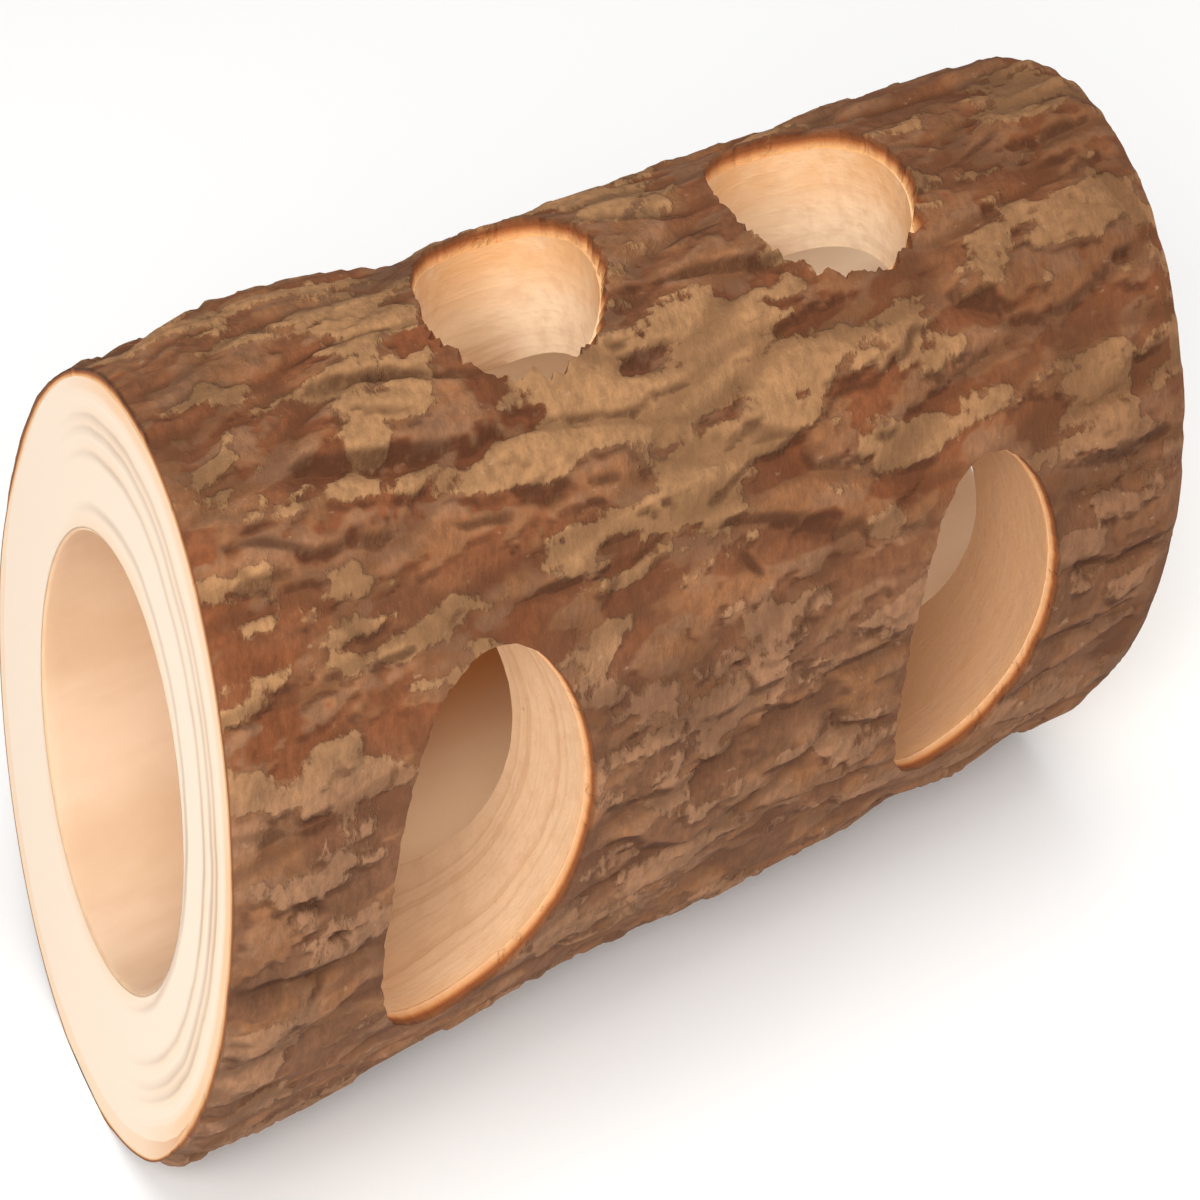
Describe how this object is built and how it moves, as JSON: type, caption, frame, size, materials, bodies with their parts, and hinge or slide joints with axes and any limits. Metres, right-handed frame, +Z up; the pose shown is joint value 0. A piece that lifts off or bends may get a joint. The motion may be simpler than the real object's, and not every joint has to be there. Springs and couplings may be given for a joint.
{
  "type": "hollow log tunnel",
  "caption": "Short bark-covered log bored out lengthwise into a tunnel, with round openings drilled in its top and one side, for small pets to run through.",
  "frame": {"origin": "middle of the log's outline seen from above, on the ground that it lies on", "axes": "+X along the log, from its thick end to its thin end; +Z up; the side openings face -Y"},
  "size_m": [0.1406, 0.0776, 0.0823],
  "materials": {
    "bark": "rough reddish-brown bark with grey-tan flakes",
    "wood": "pale sawn and drilled wood, matt"
  },
  "bodies": {
    "root": {"log": "bark"}
  },
  "joints": []
}
